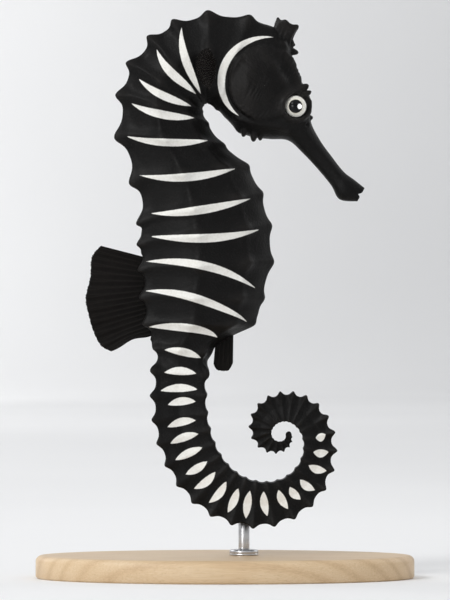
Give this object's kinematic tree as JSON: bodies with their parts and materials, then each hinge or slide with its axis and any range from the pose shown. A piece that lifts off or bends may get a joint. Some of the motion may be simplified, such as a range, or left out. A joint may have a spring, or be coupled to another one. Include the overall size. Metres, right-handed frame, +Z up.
{
  "type": "seahorse model on a stand",
  "caption": "Life-size museum model of a dark seahorse with pale crescent bars, head bowed and tail coiled, held on a low oval wooden base by a short rod.",
  "frame": {"origin": "bottom centre of the stand's base, on the surface it stands on", "axes": "+X the way the animal faces, +Y the animal's left side, +Z up"},
  "size_m": [0.076, 0.046, 0.1137],
  "materials": {
    "skin": "bony skin over plates, near black with ivory crescent bars along the rings, low soft sheen",
    "fin": "thin dark membrane with fine raised rays, slightly translucent at the rim",
    "eye": "ivory iris ring round a black pupil under a clear glossy cornea",
    "base_wood": "pale maple, satin lacquer, rounded edges",
    "steel": "brushed stainless rod and collar"
  },
  "bodies": {
    "root": {"snout": "skin", "head": "skin", "coronet": "skin", "neck": "skin", "trunk_upper": "skin", "trunk_middle": "skin", "trunk_lower": "skin", "tail_1": "skin", "tail_2": "skin", "tail_3": "skin", "tail_4": "skin", "tail_5": "skin", "tail_6": "skin", "tail_7": "skin", "tail_8": "skin", "tail_9": "skin", "dorsal_fin": "fin", "anal_fin": "fin", "pectoral_fin_left": "fin", "pectoral_fin_right": "fin", "eye_left": "eye", "eye_right": "eye", "stand_base": "base_wood", "stand_rod": "steel", "stand_collar": "steel"}
  },
  "joints": []
}
